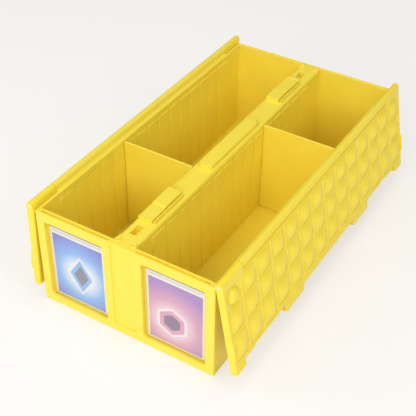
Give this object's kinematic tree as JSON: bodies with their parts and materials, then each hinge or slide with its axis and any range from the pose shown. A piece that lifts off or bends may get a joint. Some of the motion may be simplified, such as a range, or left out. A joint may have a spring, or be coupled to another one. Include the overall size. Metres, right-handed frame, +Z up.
{
  "type": "trading card storage bin",
  "caption": "Long storage tub with two open card rows, hinged lids, lift-out partitions and covered label pockets on the front.",
  "frame": {"origin": "centre of the tub's underside, on the surface it stands on", "axes": "+X to the right as seen from the labelled front, +Y towards the back along the rows, +Z up"},
  "size_m": [0.2316, 0.379, 0.1191],
  "materials": {
    "tub_plastic": "injection-moulded yellow plastic, satin",
    "lid_plastic": "blow-moulded double-skin yellow plastic, satin",
    "partition_plastic": "moulded yellow plastic sheet, satin",
    "hinge_rod_steel": "drawn steel rod, dull",
    "label_cover_plastic": "clear rigid sheet",
    "left_label_print": "printed card, blue",
    "right_label_print": "printed card, purple and pink"
  },
  "bodies": {
    "tub": {"tub": "tub_plastic", "right_hinge_rod": "hinge_rod_steel", "left_hinge_rod": "hinge_rod_steel"},
    "right_lid": {"right_lid": "lid_plastic"},
    "left_lid": {"left_lid": "lid_plastic"},
    "right_partition": {"right_partition": "partition_plastic"},
    "left_partition": {"left_partition": "partition_plastic"},
    "right_label": {"right_label_cover": "label_cover_plastic", "right_label_card": "right_label_print"},
    "left_label": {"left_label_cover": "label_cover_plastic", "left_label_card": "left_label_print"}
  },
  "joints": [
    {"name": "right_lid_hinge", "type": "hinge", "parent": "tub", "child": "right_lid", "pos_m": [0.1011, 0, 0.1153], "axis": [0, -1, 0], "range_deg": [-8.4, 259.6]},
    {"name": "left_lid_hinge", "type": "hinge", "parent": "tub", "child": "left_lid", "pos_m": [-0.1011, 0, 0.1153], "axis": [0, 1, 0], "range_deg": [0, 268]},
    {"name": "right_partition_lift", "type": "slide", "parent": "tub", "child": "right_partition", "axis": [0, 0, -1], "range_m": [-0.11, 0]},
    {"name": "left_partition_lift", "type": "slide", "parent": "tub", "child": "left_partition", "axis": [0, 0, -1], "range_m": [-0.11, 0]},
    {"name": "right_label_pull", "type": "slide", "parent": "tub", "child": "right_label", "axis": [0, 1, 0], "range_m": [-0.015, 0]},
    {"name": "left_label_pull", "type": "slide", "parent": "tub", "child": "left_label", "axis": [0, 1, 0], "range_m": [-0.015, 0]}
  ]
}
